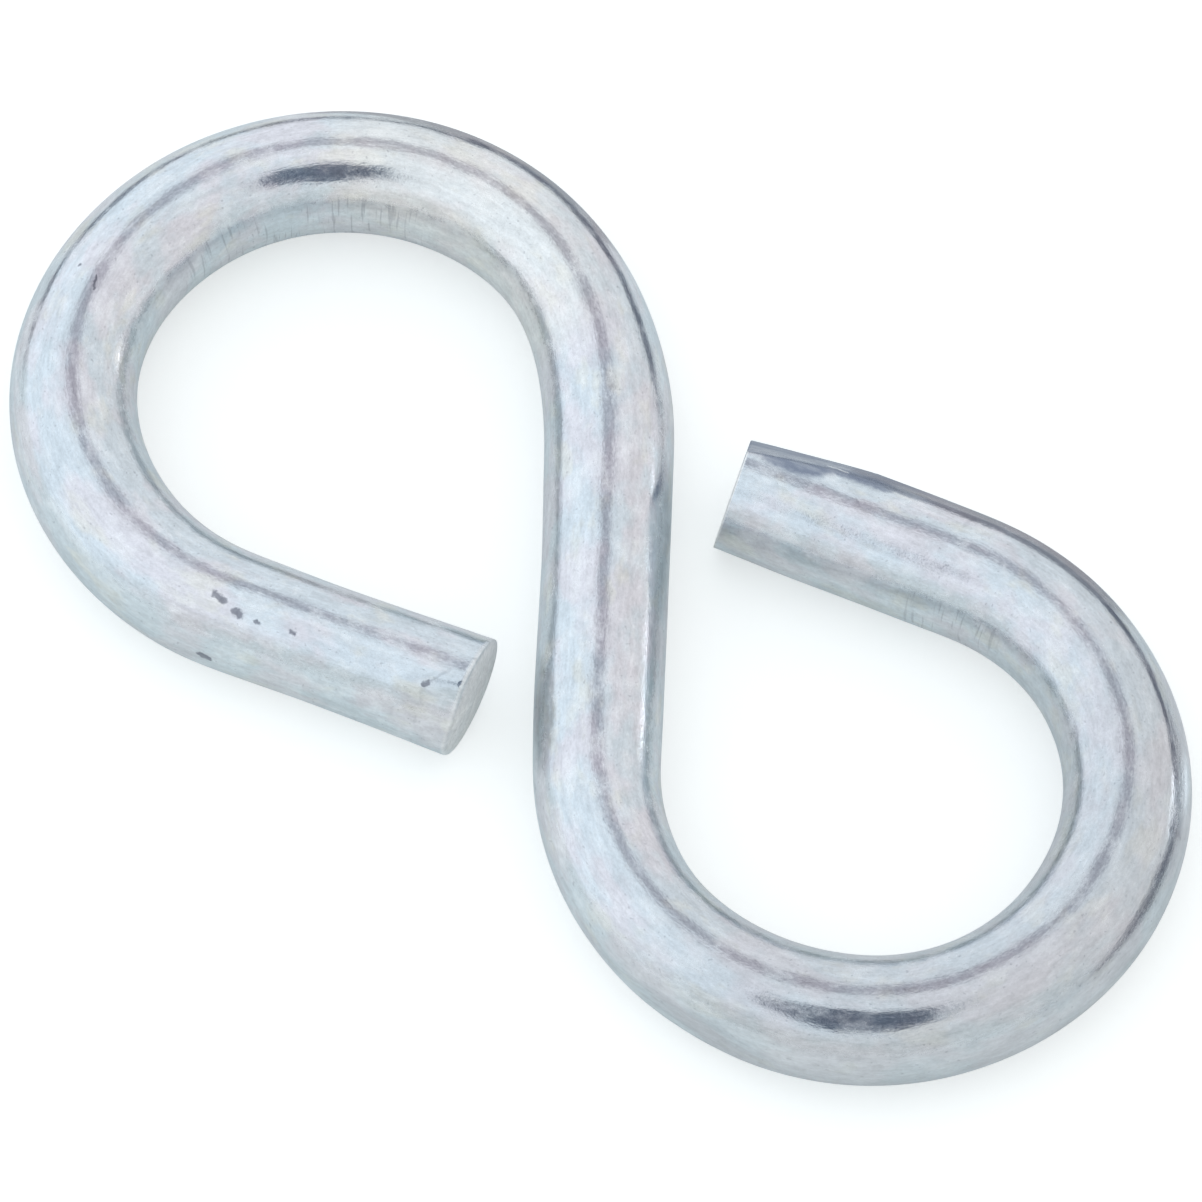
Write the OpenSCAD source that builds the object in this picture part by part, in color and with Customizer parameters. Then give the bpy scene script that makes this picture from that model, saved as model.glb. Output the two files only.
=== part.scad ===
/* [Wire] */
// Diameter of the straight wire
wire_d = 6.1; // [4:0.1:8]
// How much thinner the wire is drawn at each stage of a bend
bend_draw = 0.05; // [0.04:0.01:0.1]

/* [Shank] */
// Straight wire from the middle of the shank to the upper bend
upper_shank = 8.2; // [5:0.05:12]
// Straight wire from the middle of the shank to the lower bend
lower_shank = 9.25; // [5:0.05:12]

/* [Upper loop] */
// Centreline radius of the easy start of the bend
upper_lead_r = 19; // [14:0.5:26]
// Angle turned by the easy start of the bend
upper_lead_turn = 23; // [10:1:36]
// Centreline radius of the loop
upper_r = 12.9; // [10:0.05:15]
// Angle turned by the loop
upper_turn = 226.5; // [210:0.5:235]
// Mouth between the wire end and the shank
upper_gap = 2.15; // [1:0.05:5]

/* [Lower loop] */
// Centreline radius of the easy start of the bend
lower_lead_r = 13.5; // [12.5:0.1:20]
// Angle turned by the easy start of the bend
lower_lead_turn = 54; // [20:1:75]
// Centreline radius of the loop
lower_r = 12.45; // [10:0.05:15]
// Angle turned by the loop
lower_turn = 194.5; // [170:0.5:200]
// Mouth between the wire end and the shank
lower_gap = 1.8; // [1:0.05:5]

/* [Upper end] */
// Length of the rolled edge around the cut end
upper_roll = 0.15; // [0.05:0.05:0.6]
// Depth of the pinch that the shear left on the end
nip_depth = 0.45; // [0.1:0.05:0.8]
// Length of the pinch along the wire
nip_run = 4; // [1:0.1:6]
// How far the pinch leans from the top towards the outer side
nip_lean = 40; // [0:1:80]

/* [Lower end] */
// Sideways slant of the cut end
cut_skew = 6; // [0:0.5:12]
// Slant of the cut end that shortens the top of the wire
cut_tilt = 9; // [0:0.5:15]
// Depth of the flat on the outer side, at the cut end
side_flat_depth = 0.75; // [0.1:0.05:1.2]
// Length of the flat along the wire
side_flat_run = 5.5; // [3:0.1:8]

/* [Tool flat] */
// Depth of the flat that the bending tool left on the lower loop
tool_flat_depth = 0.35; // [0.05:0.05:0.6]
// Place of that flat, as an angle turned from the shank
tool_flat_at = 57; // [40:1:200]

/* [Hidden] */
$fn = 96;
zinc = [0.80, 0.83, 0.85];

// Each length of wire runs this far into the next one, so that they are one piece
lap = 0.3;
// Tools that cut the ends are this much larger than the wire
cutter = 4 * wire_d;

// Wire diameter after each stage of a bend
lead_d = wire_d - bend_draw;
loop_d = wire_d - 2 * bend_draw;
leg_d = wire_d - bend_draw;

// Middle of a loop, with the shank lying along X from the hook's middle
function loop_mid(shank, lead_r, lead_turn, r) =
    [shank + (lead_r - r) * sin(lead_turn), lead_r - (lead_r - r) * cos(lead_turn)];

// Straight leg that stops a gap short of the shank, at the turn where the loop ends
function leg_length(mid, r, turn, gap) =
    (mid[1] - r * cos(turn) - wire_d / 2 - gap + leg_d / 2 * cos(turn)) / -sin(turn);

upper_mid = loop_mid(upper_shank, upper_lead_r, upper_lead_turn, upper_r);
lower_mid = -loop_mid(lower_shank, lower_lead_r, lower_lead_turn, lower_r);
upper_leg = leg_length(upper_mid, upper_r, upper_lead_turn + upper_turn, upper_gap);
lower_leg = leg_length(-lower_mid, lower_r, lower_lead_turn + lower_turn, lower_gap);

// The line of pull joins the middles of the two loops, and is turned to lie along X
pull = lower_mid - upper_mid;
pull_angle = atan2(pull[1], pull[0]);
pull_shift = (norm(pull) + upper_r - lower_r) / 2;

// A straight length along X, with what follows it at its far end
module straight(length, d) {
    translate([-lap, 0, 0]) rotate([0, 90, 0]) cylinder(d = d, h = length + 2 * lap);
    translate([length, 0, 0]) children();
}

// A bend to the left from the X direction, with what follows it at its far end
module bend(r, turn, d) {
    lap_turn = lap / r * 180 / PI;
    translate([0, r, 0]) {
        rotate_extrude(angle = turn + 2 * lap_turn, start = -90 - lap_turn) translate([r, 0]) circle(d = d);
        rotate([0, 0, turn]) translate([0, -r, 0]) children();
    }
}

// Upper end: cut square, with a rolled edge and a pinch that leans to the outer side
module upper_end(length) {
    difference() {
        union() {
            translate([-lap, 0, 0]) rotate([0, 90, 0]) cylinder(d = leg_d, h = length + lap - upper_roll);
            translate([length - upper_roll, 0, 0]) rotate([0, 90, 0])
                cylinder(d1 = leg_d, d2 = leg_d - upper_roll, h = upper_roll);
        }
        rotate([nip_lean, 0, 0]) translate([length - nip_run, 0, leg_d / 2])
            rotate([0, atan(nip_depth / nip_run), 0]) translate([0, -cutter / 2, 0]) cube(cutter);
    }
}

// Lower end: cut on a slant, with a flat that fades along its outer side
module lower_end(length) {
    difference() {
        translate([-lap, 0, 0]) rotate([0, 90, 0]) cylinder(d = leg_d, h = length + leg_d + lap);
        translate([length, 0, 0]) rotate([0, -cut_tilt, cut_skew])
            translate([0, -cutter / 2, -cutter / 2]) cube(cutter);
        translate([length - side_flat_run, -leg_d / 2, 0])
            rotate([0, 0, atan(side_flat_depth / side_flat_run)])
            translate([0, -cutter, -cutter / 2]) cube(cutter);
    }
}

// From the middle of the shank round the upper loop to its end
module upper_half()
    straight(upper_shank, wire_d)
    bend(upper_lead_r, upper_lead_turn, lead_d)
    bend(upper_r, upper_turn, loop_d)
    upper_end(upper_leg);

// From the middle of the shank round the lower loop to its end, less the flat of the bending tool
module lower_half() difference() {
    straight(lower_shank, wire_d)
        bend(lower_lead_r, lower_lead_turn, lead_d)
        bend(lower_r, lower_turn, loop_d)
        lower_end(lower_leg);
    translate([-lower_mid[0], -lower_mid[1], -cutter / 2]) rotate([0, 0, tool_flat_at - 90])
        translate([lower_r + loop_d / 2 - tool_flat_depth, -cutter / 2, 0]) cube(cutter);
}

// The hook lies flat, with its line of pull along X and its middle over the origin
module hook() color(zinc)
    translate([pull_shift - norm(pull), 0, wire_d / 2]) rotate([0, 0, -pull_angle])
    translate([-upper_mid[0], -upper_mid[1], 0]) {
        upper_half();
        rotate([0, 0, 180]) lower_half();
    }

hook();
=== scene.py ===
import math

import bpy
import numpy as np
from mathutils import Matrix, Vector, noise


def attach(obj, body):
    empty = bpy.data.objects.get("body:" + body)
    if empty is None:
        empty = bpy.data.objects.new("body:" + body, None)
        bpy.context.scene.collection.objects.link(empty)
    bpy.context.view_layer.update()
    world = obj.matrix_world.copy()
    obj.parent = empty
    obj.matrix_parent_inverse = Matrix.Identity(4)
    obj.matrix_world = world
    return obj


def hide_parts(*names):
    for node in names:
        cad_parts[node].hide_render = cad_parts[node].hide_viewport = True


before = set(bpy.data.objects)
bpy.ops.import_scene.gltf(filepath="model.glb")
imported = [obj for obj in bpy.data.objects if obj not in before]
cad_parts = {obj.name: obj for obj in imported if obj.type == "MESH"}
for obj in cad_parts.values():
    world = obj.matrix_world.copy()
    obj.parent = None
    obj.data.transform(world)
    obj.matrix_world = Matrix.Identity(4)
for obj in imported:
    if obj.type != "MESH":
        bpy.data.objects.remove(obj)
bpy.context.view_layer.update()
mm = 0.001

# The bent wire, in millimetres and degrees, with the same bends as the CAD solid
hookWire = {
    "wireAcross": 6.1,
    "wireHigh": 6.06,
    "upper": {"shank": 8.2, "leadRadius": 19.0, "leadTurn": 23.0,
              "radius": 12.9, "turn": 226.5, "gap": 2.15},
    "lower": {"shank": 9.25, "leadRadius": 13.5, "leadTurn": 54.0,
              "radius": 12.45, "turn": 194.5, "gap": 1.8},
    "easing": 1.6,
    "ringsAlong": 860,
    "pointsAround": 104,
    # stretches with more rings, as middle, spread and how many more, and the same without middle at the end
    "closerRings": [(0, 9, 1.4), (12, 3, 0.9)],
    "closerAtEnd": (6, 1.1),
    # how wide the wire looks from above, at places along it from the upper end
    "swells": [(0, 6.1), (4, 5.88), (8, 5.76), (15, 6.0), (23, 6.28), (38, 6.2), (46, 6.02),
               (53, 6.03), (60, 5.8), (69, 6.4), (77, 6.2), (85, 6.28), (97, 5.85), (107, 6.24),
               (114, 6.08), (123, 6.26), (136, 6.05), (146, 6.34), (152, 6.3), (156, 6.1)],
    # how far the bent wire strays to the left of its course
    "sway": [(0, 0), (20, 0), (29, 0.14), (38, 0), (60, 0), (69, -0.13), (77, -0.06), (85, -0.15),
             (97, -0.11), (104, 0.08), (112, 0.04), (123, 0.14), (135, 0), (147, -0.12), (156, -0.1)],
    # share of the radius by which slow waves change it, and how fast they pass along and round the wire
    "waviness": 0.005,
    "waveAlong": 0.22,
    "waveAround": 0.9,
}

# What the tools did to the ends and to the lower loop
toolMarks = {
    "nip": {"depth": 0.5, "run": 3.2, "lean": 52.0, "soft": 0.22},
    "sideFlat": {"depth": 0.8, "run": 6.2, "lean": -54.0, "soft": 0.12},
    "sideBand": {"depth": 0.04, "start": 126.0, "fadeIn": 8.0, "fadeOut": 5.0,
                 "lean": -52.0, "soft": 0.06},
    "bendFlat": {"depth": 0.36, "middle": 102.2, "half": 3.6, "lean": -90.0, "soft": 0.12},
    "upperRound": 0.22,
    "upperSharp": 0.12,  # share of that rounding that is left on the outer side
    "upperDome": 0.2,
    "lowerRound": 0.05,
    "lowerDome": 0.02,
    "upperSlant": (2.0, -2.0),
    "lowerSlant": (-6.0, -9.0),
    "slantRun": 4.5,
}


def smoothStep(low, high, value):
    t = np.clip((value - low) / (high - low), 0, 1)
    return t * t * (3 - 2 * t)


def loopMiddle(half):
    lead = math.radians(half["leadTurn"])
    spare = half["leadRadius"] - half["radius"]
    return np.array([half["shank"] + spare * math.sin(lead), half["leadRadius"] - spare * math.cos(lead)])


def legLength(half, wireAcross):
    turned = math.radians(half["leadTurn"] + half["turn"])
    reach = loopMiddle(half)[1] - half["radius"] * math.cos(turned)
    return (reach - wireAcross / 2 - half["gap"] + wireAcross / 2 * math.cos(turned)) / -math.sin(turned)


def bendList(half, wireAcross):
    # lengths along the wire from the middle of the shank, each with its curvature
    lead = math.radians(half["leadTurn"]) * half["leadRadius"]
    loop = math.radians(half["turn"]) * half["radius"]
    return [(half["shank"], 0.0), (lead, 1 / half["leadRadius"]), (loop, 1 / half["radius"]),
            (legLength(half, wireAcross), 0.0)]


def walkHalf(half, wireAcross, easing, step=0.02):
    # the centreline of one half, with each change of curvature eased over a short length
    bends = bendList(half, wireAcross)
    total = sum(length for length, curvature in bends)
    count = int(total / step) + 1
    along = np.linspace(0, total, count)
    curvature = np.zeros(count)
    start, last = 0.0, 0.0
    for length, value in bends:
        curvature += (value - last) * smoothStep(start - easing, start + easing, along) if start else 0
        start, last = start + length, value
    gap = along[1] - along[0]
    heading = np.concatenate([[0], np.cumsum((curvature[1:] + curvature[:-1]) / 2 * gap)])
    middle = (heading[1:] + heading[:-1]) / 2
    x = np.concatenate([[0], np.cumsum(np.cos(middle) * gap)])
    y = np.concatenate([[0], np.cumsum(np.sin(middle) * gap)])
    return along, np.stack([x, y], 1), heading


def centreline(wire):
    # points from the upper end to the lower end, in the frame of the CAD part
    across = wire["wireAcross"]
    upAlong, upPoints, upHeading = walkHalf(wire["upper"], across, wire["easing"])
    lowAlong, lowPoints, lowHeading = walkHalf(wire["lower"], across, wire["easing"])
    points = np.concatenate([upPoints[::-1], -lowPoints[1:]])
    heading = np.concatenate([upHeading[::-1] + math.pi, lowHeading[1:] + math.pi])
    along = np.concatenate([upAlong[-1] - upAlong[::-1], upAlong[-1] + lowAlong[1:]])
    upperMiddle, lowerMiddle = loopMiddle(wire["upper"]), -loopMiddle(wire["lower"])
    pull = lowerMiddle - upperMiddle
    pullLength = np.linalg.norm(pull)
    shift = (pullLength + wire["upper"]["radius"] - wire["lower"]["radius"]) / 2 - pullLength
    turn = -math.atan2(pull[1], pull[0])
    c, s = math.cos(turn), math.sin(turn)
    local = points - upperMiddle
    placed = np.stack([c * local[:, 0] - s * local[:, 1] + shift, s * local[:, 0] + c * local[:, 1]], 1)
    return along, placed, heading + turn


def ringPlaces(length, wire):
    # rings lie closer together near the ends and the pitted stretch
    fine = np.linspace(0, length, 4000)
    weight = np.ones_like(fine)
    for middle, spread, more in wire["closerRings"] + [(length, *wire["closerAtEnd"])]:
        weight += more * np.exp(-((fine - middle) / spread) ** 2)
    filled = np.concatenate([[0], np.cumsum((weight[1:] + weight[:-1]) / 2)])
    return np.interp(np.linspace(0, filled[-1], wire["ringsAlong"]), filled, fine)


def softened(places, marks, window=31):
    # values given at a few places along the wire, with smooth passages between them
    at, value = zip(*marks)
    kernel = np.hanning(window)
    padded = np.pad(np.interp(places, at, value), window // 2, mode="edge")
    return np.convolve(padded, kernel / kernel.sum(), mode="valid")


untouched = -1  # depth of a tool on rings that it doesn't reach


def press(side, up, tool, depth, reach):
    # pushes in what stands above a plane whose normal leans from the top to the left, in degrees
    nx, nz = math.sin(math.radians(tool["lean"])), math.cos(math.radians(tool["lean"]))
    proud = side * nx + up * nz - (reach - depth)
    slack, springBack = tool["soft"] / 4, 0.94
    pushed = 0.5 * (proud + np.sqrt(proud * proud + tool["soft"] ** 2)) - slack
    pushed = np.where(depth > untouched, np.maximum(pushed, 0) * springBack, 0)
    return side - pushed * nx, up - pushed * nz


def buildHook(wire, marks):
    course, points, heading = centreline(wire)
    length = course[-1]
    places = ringPlaces(length, wire)
    cx, cy = np.interp(places, course, points[:, 0]), np.interp(places, course, points[:, 1])
    turned = np.interp(places, course, heading)
    sway = softened(places, wire["sway"])
    cx, cy = cx - sway * np.sin(turned), cy + sway * np.cos(turned)
    turned = turned + np.arctan(np.gradient(sway, places))
    n = wire["pointsAround"]
    phi = np.linspace(-math.pi, math.pi, n, endpoint=False)
    width = softened(places, wire["swells"])
    side = (width / 2)[:, None] * np.sin(phi)[None, :]
    up = np.full((len(places), 1), wire["wireHigh"] / 2) * np.cos(phi)[None, :]

    # slow waves that a bent and plated wire has
    around = wire["waveAround"]
    for i, along in enumerate(places):
        for j in range(n):
            c, s = math.cos(phi[j]), math.sin(phi[j])
            spot = Vector((along * wire["waveAlong"], c * around, s * around))
            grow = 1 + wire["waviness"] * noise.noise(spot)
            side[i, j] *= grow
            up[i, j] *= grow

    # flats pressed by the shear and the bending tool
    reach = np.full((len(places), 1), wire["wireHigh"] / 2)
    fromEnd = length - places
    nip, sideFlat, band, flat = marks["nip"], marks["sideFlat"], marks["sideBand"], marks["bendFlat"]
    bandIn = smoothStep(band["start"], band["start"] + band["fadeIn"], places)
    bandOut = smoothStep(0, band["fadeOut"], fromEnd)
    flatShare = 1 - ((places - flat["middle"]) / flat["half"]) ** 2
    for share, tool, outTo in ((1 - places / nip["run"], nip, reach),
                               (1 - fromEnd / sideFlat["run"], sideFlat, reach),
                               (bandIn * bandOut, band, reach),
                               (flatShare, flat, (width / 2)[:, None])):
        depth = np.where(share > 0, tool["depth"] * share, untouched)[:, None]
        side, up = press(side, up, tool, depth, outTo)

    # each ring stands square to the wire, and leans into the slant of the cut near an end
    lean = np.zeros_like(side)
    for fromCut, slant in ((places, marks["upperSlant"]), (fromEnd, marks["lowerSlant"])):
        blend = 1 - smoothStep(0, marks["slantRun"], fromCut)[:, None]
        lean += blend * (side * math.tan(math.radians(slant[0])) + up * math.tan(math.radians(slant[1])))
    forward = np.stack([np.cos(turned), np.sin(turned)], 1)
    left = np.stack([-forward[:, 1], forward[:, 0]], 1)

    def ringPoints(i, sideOf, upOf, leanOf, extra):
        # one ring of points, moved along the wire by lean and extra
        x = cx[i] + left[i, 0] * sideOf + forward[i, 0] * (leanOf + extra)
        y = cy[i] + left[i, 1] * sideOf + forward[i, 1] * (leanOf + extra)
        return np.stack([x, y, upOf + wire["wireAcross"] / 2], 1)

    rings, rods, cuts = [], [], []

    def addRing(i, shrink, extra, cut):
        s, u = side[i] * shrink, up[i] * shrink
        rings.append(ringPoints(i, s, u, lean[i] * shrink, extra))
        rods.append(np.stack([np.full(n, places[i]) + extra, s, u], 1))
        cuts.append(np.full(n, cut))

    radius = wire["wireHigh"] / 2
    faceRings = [0.06, 0.2, 0.35, 0.5, 0.65, 0.8, 0.9]
    edge = [math.radians(a) for a in (75, 50, 25)]
    sharp, dome = marks["upperSharp"], marks["upperDome"]
    roundOff = marks["upperRound"] * (sharp + (1 - sharp) * smoothStep(-0.75, 0.2, np.sin(phi)))
    for share in faceRings:
        addRing(0, share * (1 - roundOff / radius), -dome * (1 - share ** 2), 1.0)
    # the rolled edge of the upper end is partly plated
    for a in edge:
        addRing(0, 1 - roundOff / radius * (1 - math.cos(a)), roundOff * (1 - math.sin(a)), 0.6)
    for i in range(len(places)):
        if places[i] > marks["upperRound"] and fromEnd[i] > marks["lowerRound"]:
            addRing(i, 1.0, 0.0, 0.0)
    last = len(places) - 1
    roundOff, dome = marks["lowerRound"], marks["lowerDome"]
    for a in reversed(edge):
        addRing(last, 1 - roundOff / radius * (1 - math.cos(a)), -roundOff * (1 - math.sin(a)), 1.0)
    for share in reversed(faceRings):
        addRing(last, share * (1 - roundOff / radius), dome * (1 - share ** 2), 1.0)

    count = len(rings)
    vertices = np.concatenate(rings)
    firstTip = vertices[:n].mean(0)
    lastTip = vertices[-n:].mean(0)
    vertices = np.concatenate([vertices, [firstTip, lastTip]]) * mm
    faces = []
    for i in range(count - 1):
        for j in range(n):
            k = (j + 1) % n
            faces.append((i * n + j, i * n + k, (i + 1) * n + k, (i + 1) * n + j))
    a, b = count * n, count * n + 1
    for j in range(n):
        k = (j + 1) % n
        faces.append((a, k, j))
        faces.append((b, (count - 1) * n + j, (count - 1) * n + k))
    mesh = bpy.data.meshes.new("wireHook")
    mesh.from_pydata(vertices.tolist(), [], faces)
    mesh.update()
    rod = np.concatenate(rods + [[[0, 0, 0], [length, 0, 0]]])
    cut = np.concatenate(cuts + [[1, 1]])
    for name, kind, values in (("wireRod", "FLOAT_VECTOR", rod), ("cutFace", "FLOAT", cut)):
        layer = mesh.attributes.new(name, kind, "POINT")
        layer.data.foreach_set("vector" if kind == "FLOAT_VECTOR" else "value",
                               np.asarray(values, np.float32).ravel())
    mesh.polygons.foreach_set("use_smooth", [True] * len(mesh.polygons))
    hook = bpy.data.objects.new("hookWire", mesh)
    bpy.context.scene.collection.objects.link(hook)
    return hook


class Shade:
    # wraps a socket, so that shader maths reads as Python
    tree = None

    def __init__(self, socket):
        self.socket = socket

    @classmethod
    def node(cls, kind, settings=None, inputs=None, output=0):
        made = cls.tree.nodes.new(kind)
        for name, value in (settings or {}).items():
            setattr(made, name, value)
        for name, value in (inputs or {}).items():
            if isinstance(value, Shade):
                cls.tree.links.new(value.socket, made.inputs[name])
            else:
                made.inputs[name].default_value = value
        return cls(made.outputs[output] if made.outputs else None)

    @classmethod
    def maths(cls, operation, *values, clamp=False):
        inputs = dict(enumerate(values))
        return cls.node("ShaderNodeMath", {"operation": operation, "use_clamp": clamp}, inputs)

    def __add__(self, other):
        return Shade.maths("ADD", self, other)

    __radd__ = __add__

    def __mul__(self, other):
        return Shade.maths("MULTIPLY", self, other)

    __rmul__ = __mul__

    def __sub__(self, other):
        return Shade.maths("SUBTRACT", self, other)

    def __rsub__(self, other):
        return Shade.maths("SUBTRACT", other, self)


def attribute(name, output):
    return Shade.node("ShaderNodeAttribute", {"attribute_name": name}, output=output)


def vectorMaths(operation, inputs, output=0):
    return Shade.node("ShaderNodeVectorMath", {"operation": operation}, inputs, output)


def clamped(value):
    return Shade.maths("MULTIPLY", value, 1.0, clamp=True)


def larger(first, second):
    return Shade.maths("MAXIMUM", first, second)


def stretched(vector, along, around):
    return vectorMaths("MULTIPLY", {0: vector, 1: (along, around, around)})


def noiseAt(vector, detail, rough):
    inputs = {"Vector": vector, "Scale": 1.0, "Detail": detail, "Roughness": rough}
    return Shade.node("ShaderNodeTexNoise", {}, inputs, output="Fac")


def fade(value, low, high):
    settings = {"interpolation_type": "SMOOTHSTEP"}
    return Shade.node("ShaderNodeMapRange", settings, {"Value": value, "From Min": low, "From Max": high})


def stretchMask(along, start, full, ebb, end):
    # 1 on a stretch of the wire, with soft ends
    return fade(along, start, full) * fade(along, end, ebb)


def mixColour(factor, first, second):
    # sockets 6 and 7 of a Mix node are its colours, and output 2 is the mixed colour
    return Shade.node("ShaderNodeMix", {"data_type": "RGBA"}, {0: factor, 6: first, 7: second}, output=2)


def splitUp(vector):
    return [Shade.node("ShaderNodeSeparateXYZ", {}, {"Vector": vector}, output=axis) for axis in "XYZ"]


def onWire(place, radius=3.03):
    # a place given as millimetres along and degrees round the wire, as a point of wireRod
    angle = math.radians(place[1])
    return Vector((place[0], radius * math.sin(angle), radius * math.cos(angle)))


def strokeMask(point, start, end, width, core=0.35):
    # 1 along a stroke between two places of the wire, fading to 0 at its width
    a, b = onWire(start), onWire(end)
    d = b - a
    if d.length < 0.01:
        distance = vectorMaths("DISTANCE", {0: point, 1: a}, "Value")
    else:
        local = vectorMaths("SUBTRACT", {0: point, 1: a})
        share = clamped(vectorMaths("DOT_PRODUCT", {0: local, 1: d / d.length_squared}, "Value"))
        near = vectorMaths("SCALE", {0: d, "Scale": share})
        distance = vectorMaths("DISTANCE", {0: local, 1: near}, "Value")
    return fade(distance, width, width * core)


# Colours as they would be seen in even light, the noises that spread them, and the marks of wear, beside
# painted shade on the underside, a painted shade edge round the upper tip, a dark slate patch on the flat
# by the lower end and a painted glint. A mark runs from one place to another (millimetres from the upper
# end, degrees round from the top), with its width in millimetres and, for pits and lines, its strength
zincPlate = {
    "blue": (0.65, 0.72, 0.77, 1),
    "pink": (0.71, 0.71, 0.755, 1),
    "yellow": (0.75, 0.755, 0.70, 1),
    "white": (0.82, 0.85, 0.865, 1),
    "stain": (0.13, 0.14, 0.18, 1),
    # painted shade: the greenish grey that darkens the underside and low sides of the wire
    "paintedUnderShade": (0.50, 0.575, 0.57, 1),
    "slate": (0.22, 0.26, 0.34, 1),
    "greyed": (0.50, 0.525, 0.55, 1),
    "sheared": (0.88, 0.885, 0.875, 1),
    "cream": (0.90, 0.865, 0.80, 1),
    "edgeTint": (0.86, 0.87, 0.89, 1),
    # how much of each colour its mask lets through
    "shares": {"yellow": 0.55, "white": 0.35, "paintedUnderShade": 0.3, "greyed": 0.45, "cream": 0.4,
               "sheared": 0.8, "stain": 0.25},
    # each with its scale along and round the wire, its detail and its roughness
    "noises": {
        "tint": (0.25, 0.45, 3.0, 0.55),
        "warmth": (0.34, 0.68, 3.0, 0.55),
        "cloud": (0.6, 0.9, 5.0, 0.66),
        "patchy": (1.3, 2.0, 3.0, 0.6),
        "streak": (0.5, 3.6, 2.0, 0.6),
        "speckle": (4.6, 5.2, 1.0, 0.5),
        "grain": (4.2, 7.0, 2.0, 0.7),
        "swell": (0.5, 0.8, 1.0, 0.5),
        "crazing": (3.6, 0.35, 2.0, 0.6),
        "crumble": (5.0, 5.0, 3.0, 0.6),
    },
    "brightness": 0.98,
    "contrasts": {"cloud": 0.28, "patchy": 0.25, "streak": 0.3, "grain": 0.36},
    "roughness": 0.175,
    "bumpDepth": 0.014,
    "warmStretch": ((50, -20), (63, -50), 4.5),
    # stretches along the wire: where each starts, is full, starts to fade and ends
    "greyStretch": (92, 106, 126, 146),
    "upperCracks": (35.5, 38.0, 50.0, 56.0),
    "lowerCracks": (138.5, 141.0, 144.5, 147.0),
    "pitSpread": 1.45,
    "lineShare": 0.38,
    "pits": [((12.9, 17), (12.4, 20), 0.24, 0.8), ((11.7, 25), (11.4, 27), 0.27, 0.9),
             ((10.6, 28), (10.4, 28), 0.14, 0.8), ((8.8, 25), (8.6, 26), 0.17, 0.8),
             ((12.8, 84), (12.4, 86), 0.24, 0.9), ((1.8, 29), (1.7, 27), 0.2, 0.9),
             ((33.2, 20), (33.2, 20), 0.12, 1.0), ((32.9, -1), (32.2, -4), 0.1, 0.8),
             ((149.1, 54), (149.1, 54), 0.1, 0.7), ((23.3, 71), (23.1, 74), 0.16, 0.5)],
    "linesAndShadeEdge": [((1.8, 29), (1.1, 12), 0.12, 0.6), ((1.1, 12), (0.1, -12), 0.1, 0.4),
              # painted shade: the next two strokes draw the edge of the shade round the upper tip
              ((1.8, 32), (1.7, 60), 0.16, 0.35), ((1.7, 60), (1.9, 104), 0.14, 0.3),
              ((6.8, 80), (7.2, 108), 0.08, 0.5), ((111.1, -72), (111.1, -96), 0.06, 0.6),
              ((42.0, -78), (42.0, -102), 0.1, 0.9), ((149.5, -3), (149.3, 2), 0.12, 0.4),
              ((5.3, 72), (4.2, 68), 0.3, 0.3), ((144.1, -34), (144.2, -20), 0.16, 0.35)],
    "lens": [((157.5, -52), (156.0, -50), 1.4), ((155.4, -50), (154.8, -50), 2.2),
             ((154.0, -50), (152.9, -50), 2.55), ((151.6, -50), (148.9, -50), 1.6),
             ((148.9, -50), (146.5, -52), 1.3), ((146.5, -52), (143.0, -55), 0.9)],
    # painted highlight: a white streak near the lower end
    "paintedGlint": ((154.2, -42), (150.6, -32), 0.13),
}


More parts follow.
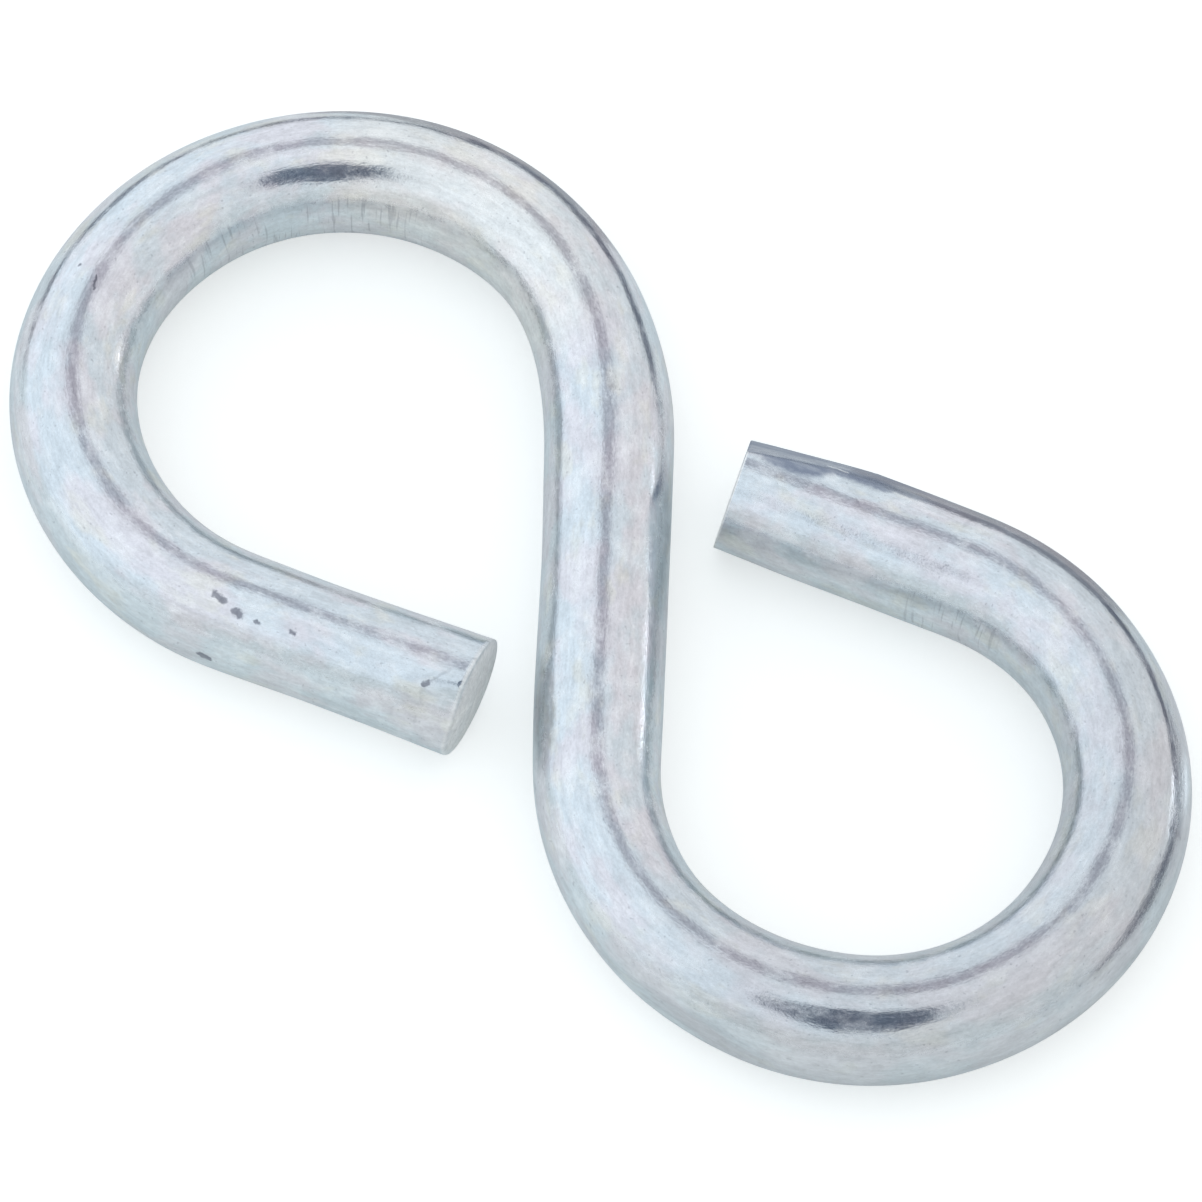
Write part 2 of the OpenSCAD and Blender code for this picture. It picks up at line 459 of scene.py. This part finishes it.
def makeZincPlate(look):
    material = bpy.data.materials.new("zincPlate")
    material.use_nodes = True
    tree = material.node_tree
    tree.nodes.clear()
    Shade.tree = tree
    rod = attribute("wireRod", "Vector")
    cut = attribute("cutFace", "Fac")
    along, side, up = splitUp(rod)

    noises = {}
    for name, (lengthwise, crosswise, detail, rough) in look["noises"].items():
        noises[name] = noiseAt(stretched(rod, lengthwise, crosswise), detail, rough)
    cloud, patchy, streak, grain = (noises[name] for name in ("cloud", "patchy", "streak", "grain"))

    # cloudy tints and bloom, the painted shade of the underside, the lower loop, the warm stretch and the
    # cuts
    tint = fade(noises["tint"], 0.42, 0.60)
    bloom = fade(cloud, 0.47, 0.66)
    colour = mixColour(tint, look["blue"], look["pink"])
    for name, mask in (("yellow", fade(noises["warmth"], 0.53, 0.68)),
                       ("white", bloom),
                       # painted shade, darker towards the underside of the wire
                       ("paintedUnderShade", 1 - fade(up, -0.6, 2.7)),
                       ("greyed", stretchMask(along, *look["greyStretch"])),
                       ("cream", strokeMask(rod, *look["warmStretch"])),
                       ("sheared", cut),
                       ("stain", fade(noises["speckle"], 0.68, 0.78))):
        colour = mixColour(mask * look["shares"][name], colour, look[name])

    # streaks of the drawn wire and the plate's grain, as light and dark
    value = look["brightness"]
    for name, contrast in look["contrasts"].items():
        value = value + (noises[name] - 0.5) * contrast
    colour = vectorMaths("SCALE", {0: colour, "Scale": value})

    # marks of wear, a dark slate patch on the lower end's flat and a painted glint, all with ragged edges
    ragged = Shade.node("ShaderNodeTexNoise", {}, {"Vector": rod, "Scale": 4.0, "Detail": 3.0}, "Color")
    ragged = vectorMaths("SUBTRACT", {0: ragged, 1: (0.5, 0.5, 0.5)})
    ragged = vectorMaths("MULTIPLY_ADD", {0: ragged, 1: (0.3, 0.3, 0.3), 2: rod})
    pits, linesAndShadeEdge, lens = 0.0, 0.0, 0.0
    for start, end, width, strength in look["pits"]:
        pits = larger(strokeMask(ragged, start, end, width * look["pitSpread"], 0.1) * strength, pits)
    for start, end, width, strength in look["linesAndShadeEdge"]:
        linesAndShadeEdge = larger(strokeMask(ragged, start, end, width) * strength, linesAndShadeEdge)
    for start, end, width in look["lens"]:
        lens = larger(strokeMask(ragged, start, end, width, 0.78), lens)
    paintedGlint = strokeMask(ragged, *look["paintedGlint"])

    # cracks across the inner sides of the bends
    across = fade(noises["crazing"], 0.55, 0.66)
    upperBend = stretchMask(along, *look["upperCracks"]) * fade(side, -2.3, -2.7)
    lowerBend = stretchMask(along, *look["lowerCracks"]) * fade(side, 2.5, 2.8)
    cracks = across * (upperBend + lowerBend) * (1 - cut)

    lens = lens * fade(along, 142.5, 149.5) * (0.1 + patchy * 0.7 + streak * 0.9)
    colour = mixColour(clamped(lens), colour, look["slate"])
    # painted highlight: the glint stroke is mixed toward white
    colour = mixColour(paintedGlint * 0.7, colour, look["white"])
    colour = mixColour(cracks * 0.3, colour, look["stain"])
    pits = fade(pits - (noises["crumble"] - 0.5) * 0.7, 0.25, 0.8) * (0.5 + grain * 0.5)
    # the lines include the painted shade edge round the upper tip
    colour = mixColour(larger(pits, linesAndShadeEdge * look["lineShare"]), colour, look["stain"])

    flank = 1 - fade(up, 0.9, 2.3)
    rough = look["roughness"] + bloom * 0.08 + (grain - 0.5) * 0.2 + flank * 0.2 + cut * 0.3 + lens * 0.1
    metallic = 1 - bloom * 0.15 - larger(cut * 0.7, lens * 0.45)
    height = grain * 0.45 + streak * 0.55 + noises["swell"] * 2.0
    relief = {"Strength": 1.0, "Distance": look["bumpDepth"] * mm, "Height": height}
    bump = Shade.node("ShaderNodeBump", {}, relief, "Normal")
    shader = Shade.node("ShaderNodeBsdfPrincipled", {}, {"Base Color": colour, "Roughness": rough,
                                                        "Metallic": metallic, "Normal": bump,
                                                        "Specular Tint": look["edgeTint"]})
    Shade.node("ShaderNodeOutputMaterial", {}, {"Surface": shader})
    return material


# The white table, and the tent of soft light over it, with the dark places that the metal shows
tent = {
    "turn": 40.13,
    "tableSize": 4.0,
    "table": (0.72, 0.75, 0.74, 1),
    "whiteness": 0.44,
    "whitenessInMetal": 0.49,
    "leftCloth": (1.04, 1.10, 1.16, 1),
    "rightCloth": (0.90, 0.895, 0.90, 1),
    "frontCloth": (0.81, 0.84, 0.845, 1),
    # the seam and the lamp: azimuth, elevation, and the degrees from there at which each is full and gone
    "seam": (0.45, 0.44, 0.50, 1),
    "seamAt": (90, 60, 3, 13),
    "seamShare": 0.9,
    "lamp": (4.0, 4.1, 4.2, 1),
    "lampAt": (24, 5, 1, 3),
    "opening": {"colour": (0.15, 0.18, 0.24, 1), "away": 430.0, "aside": 2.0, "radius": 146.0,
                "narrowing": 0.9},
    # Cards on the table that only the metal shows: places in millimetres to the picture's right and away,
    # each with the heights that the card spans there
    "cards": {
        "rightCard": {"colour": (0.19, 0.205, 0.25, 1),
                      "path": [(38.6, -46, 0, 0), (47.3, -36.9, 0, 4), (51, -28, 0, 5.5),
                               (45, -20, 0, 6.6), (42, -15.5, 0, 5.6), (41.3, -12, 0, 4.3),
                               (41.5, -9, 0, 3.2), (42.5, -5.6, 0, 3.2), (42.7, -1.5, 0, 4.8),
                               (41, 2.5, 0, 5.8), (38, 4.4, 0, 6), (35.2, 6.4, 0, 6.2),
                               (32, 6.8, 0, 5.6), (30, 7.2, 0, 5.2)]},
        "legCard": {"colour": (0.30, 0.31, 0.35, 1),
                    "path": [(30, 7.2, 0, 5.4), (27, 8.5, 0, 6), (23, 10.2, 0, 6.2), (19, 12, 0, 5.5),
                             (17, 13, 0, 0)]},
        "backCard": {"colour": (0.19, 0.205, 0.25, 1),
                     "path": [(31, 21.5, 0, 0), (29, 27.2, 0, 6.2), (27.5, 30.5, 0, 7.5),
                              (24.8, 33.2, 0, 8.5), (19, 33, 0, 7), (13.4, 31.6, 0, 5.2),
                              (6.5, 32.3, 0, 4.8), (1.7, 34.1, 0, 4.6), (-4, 36, 0, 4)]},
        "farCard": {"colour": (0.19, 0.205, 0.25, 1),
                    "path": [(3, 59.9, 0, 7), (-10.4, 59.1, 0, 5), (-30, 52, 0, 5), (-40.1, 44.6, 0, 6),
                             (-49.1, 34.4, 0, 4), (-56.4, 20.5, 0, 0)]},
        "glareCard": {"colour": (2.4, 2.45, 2.5, 1),
                      "path": [(41.4, -10, 3.3, 4.7), (42.5, -5.8, 3.3, 4.8), (43, -3.2, 3.9, 5)]},
        "paleCard": {"colour": (0.90, 0.895, 0.90, 1),
                     "path": [(41, -14, 4.8, 12), (42.6, -5.8, 4.9, 12), (43.6, 0.5, 5.3, 12)]},
        "paleShade": {"colour": (0.92, 0.91, 0.93, 1),
                      "path": [(29.3, 19, 5.6, 13), (29, 25.5, 6.2, 13)]},
    },
    # and patches that lie on the table: painted shadows of the wire by the leg, the tip and the loop, and a
    # glowing patch whose reflection is a glint on the right limb
    "patchHeight": 0.1,
    "patches": {
        "paintedShadowByLeg": {"colour": (0.46, 0.46, 0.48, 1),
                     "corners": [(19, 5.2), (22.8, 3.2), (25.6, 1.2), (28, 1.2), (30, 7.5), (27, 8.5),
                                 (22, 9.5), (19, 10)]},
        "paintedShadowByTip": {"colour": (0.57, 0.57, 0.585, 1),
                     "corners": [(12, 7.5), (16.7, 6.3), (19, 5.2), (19, 10), (22, 9.5), (24, 20),
                                 (17, 24)]},
        "paintedShadowByLoop": {"colour": (0.52, 0.52, 0.54, 1),
                      "corners": [(-16, 30), (-12, 21), (-2, 19.5), (1.5, 19.5), (6, 28), (14, 44),
                                  (10, 60), (0, 60)]},
        "glareByLimb": {"colour": (4.0, 4.1, 4.2, 1),
                        "corners": [(34.8, -5.9), (36.2, -5.4), (37, -8.6), (35.8, -9.4)]},
    },
}


def addTable(look):
    bpy.ops.mesh.primitive_plane_add(size=look["tableSize"], location=(0, 0, 0))
    table = bpy.context.object
    table.name = "table"
    material = bpy.data.materials.new("paleTable")
    material.use_nodes = True
    tree = material.node_tree
    tree.nodes.clear()
    Shade.tree = tree
    paper = Shade.node("ShaderNodeBsdfDiffuse", {}, {"Color": look["table"]})
    glow = Shade.node("ShaderNodeEmission", {}, {"Color": (1, 1, 1, 1), "Strength": look["whiteness"]})
    both = Shade.node("ShaderNodeAddShader", {}, {0: paper, 1: glow})
    reflected = Shade.node("ShaderNodeLightPath", output="Is Glossy Ray")
    reflected = reflected + Shade.node("ShaderNodeLightPath", output="Is Transmission Ray")
    seen = Shade.node("ShaderNodeLightPath", output="Is Camera Ray")
    seen = Shade.maths("ADD", seen, reflected * look["whitenessInMetal"], clamp=True)
    shader = Shade.node("ShaderNodeMixShader", {}, {0: seen, 1: paper, 2: both})
    Shade.node("ShaderNodeOutputMaterial", {}, {"Surface": shader})
    table.data.materials.append(material)


def facing(direction, azimuth, elevation, narrow, wide):
    # 1 inside a cone round a direction (azimuth from the picture's right to away), 0 outside the wider one
    a, e = math.radians(azimuth), math.radians(elevation)
    unit = Vector((math.cos(a) * math.cos(e), math.sin(a) * math.cos(e), math.sin(e)))
    dot = vectorMaths("DOT_PRODUCT", {0: direction, 1: unit}, "Value")
    return fade(dot, math.cos(math.radians(wide)), math.cos(math.radians(narrow)))


def addTent(look):
    world = bpy.data.worlds.new("lightTent")
    world.use_nodes = True
    bpy.context.scene.world = world
    tree = world.node_tree
    tree.nodes.clear()
    Shade.tree = tree
    direction = Shade.node("ShaderNodeTexCoord", output="Generated")
    turned = Shade.node("ShaderNodeVectorRotate", {"rotation_type": "Z_AXIS"},
                        {"Vector": direction, "Angle": -math.radians(look["turn"])})
    # X is now to the picture's right, Y away from the camera and Z up
    x, y, z = splitUp(turned)
    light = mixColour(fade(x, -0.7, 0.9), look["leftCloth"], look["rightCloth"])
    low = fade(y, -0.2, -0.75) * fade(z, 0.75, 0.3)
    light = mixColour(low, light, look["frontCloth"])
    light = mixColour(facing(turned, *look["seamAt"]) * look["seamShare"], light, look["seam"])
    light = mixColour(facing(turned, *look["lampAt"]), light, look["lamp"])
    seen = Shade.node("ShaderNodeLightPath", output="Is Camera Ray")
    light = mixColour(seen, light, (1, 1, 1, 1))
    shader = Shade.node("ShaderNodeBackground", {}, {"Color": light, "Strength": 1.0})
    Shade.node("ShaderNodeOutputWorld", {}, {"Surface": shader})


# The photograph's view: a long lens from above and in front
viewpoint = {
    "azimuth": 40.13,
    "elevation": 61.3,
    "distance": 453.5,
    "pixelsPerMm": 20.666,
    "frameWidth": 1202,
    "sensor": 36.0,
    "middle": (597.35, 587.7),
    "clip": (0.01, 20),
}


def viewAxes(view):
    a, e = math.radians(view["azimuth"]), math.radians(view["elevation"])
    out = Vector((math.sin(a) * math.cos(e), -math.cos(a) * math.cos(e), math.sin(e)))
    right = Vector((math.cos(a), math.sin(a), 0))
    return out, right, out.cross(right)


def addCamera(view, height):
    out, right, above = viewAxes(view)
    half = view["frameWidth"] / 2
    offRight = (half - view["middle"][0]) / view["pixelsPerMm"]
    offDown = (half - view["middle"][1]) / view["pixelsPerMm"]
    aim = Vector((0, 0, height)) + right * offRight - above * offDown
    camera = bpy.data.cameras.new("camera")
    camera.sensor_width = view["sensor"]
    camera.lens = view["pixelsPerMm"] * view["distance"] * view["sensor"] / view["frameWidth"]
    camera.clip_start, camera.clip_end = view["clip"]
    holder = bpy.data.objects.new("camera", camera)
    bpy.context.scene.collection.objects.link(holder)
    holder.location = (aim + out * view["distance"]) * mm
    holder.rotation_euler = out.to_track_quat("Z", "Y").to_euler()
    bpy.context.scene.camera = holder


def glowing(name, colour):
    material = bpy.data.materials.new(name)
    material.use_nodes = True
    material.node_tree.nodes.clear()
    Shade.tree = material.node_tree
    shader = Shade.node("ShaderNodeEmission", {}, {"Color": colour, "Strength": 1.0})
    Shade.node("ShaderNodeOutputMaterial", {}, {"Surface": shader})
    return material


def hideFromCamera(thing):
    thing.visible_camera = thing.visible_diffuse = thing.visible_shadow = False


def addOpening(view, look):
    # the opening of the tent that the camera looks through, which only reflections see
    out, right = viewAxes(view)[:2]
    opening = look["opening"]
    bpy.ops.mesh.primitive_circle_add(vertices=64, radius=opening["radius"] * mm, fill_type="NGON",
                                      location=(out * opening["away"] + right * opening["aside"]) * mm)
    disc = bpy.context.object
    disc.name = "opening"
    disc.rotation_euler = out.to_track_quat("Z", "Y").to_euler()
    disc.scale = (opening["narrowing"], 1, 1)
    hideFromCamera(disc)
    disc.data.materials.append(glowing("darkOpening", opening["colour"]))


def addStrip(name, points, faces, colour):
    # a flat piece that only reflections see
    mesh = bpy.data.meshes.new(name)
    mesh.from_pydata(points, [], faces)
    strip = bpy.data.objects.new(name, mesh)
    bpy.context.scene.collection.objects.link(strip)
    hideFromCamera(strip)
    strip.data.materials.append(glowing(name, colour))


def addCards(look):
    # things that give the wire its dark lines and glints, and that only reflections see
    c, s = math.cos(math.radians(look["turn"])), math.sin(math.radians(look["turn"]))
    # patches of painted shadow, and one glowing patch, lie flat on the table
    for name, patch in look["patches"].items():
        points = [((c * x - s * y) * mm, (s * x + c * y) * mm, look["patchHeight"] * mm)
                  for x, y in patch["corners"]]
        addStrip(name, points, [tuple(range(len(points)))], patch["colour"])
    for name, card in look["cards"].items():
        points = []
        for x, y, low, high in card["path"]:
            points += [((c * x - s * y) * mm, (s * x + c * y) * mm, z * mm) for z in (low, high)]
        faces = [(k, k + 1, k + 3, k + 2) for k in range(0, len(points) - 2, 2)]
        addStrip(name, points, faces, card["colour"])


hook = buildHook(hookWire, toolMarks)
print("hook wire", len(hook.data.vertices), "points")
hook.data.materials.append(makeZincPlate(zincPlate))
print("zinc plate", len(Shade.tree.nodes), "nodes")
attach(hook, "root")
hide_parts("hook")
addTable(tent)
addTent(tent)
addOpening(viewpoint, tent)
addCards(tent)
print("table and tent,", len(tent["cards"]), "cards,", len(tent["patches"]), "patches")
addCamera(viewpoint, hookWire["wireAcross"] / 2)
bpy.context.scene.view_settings.view_transform = "Standard"
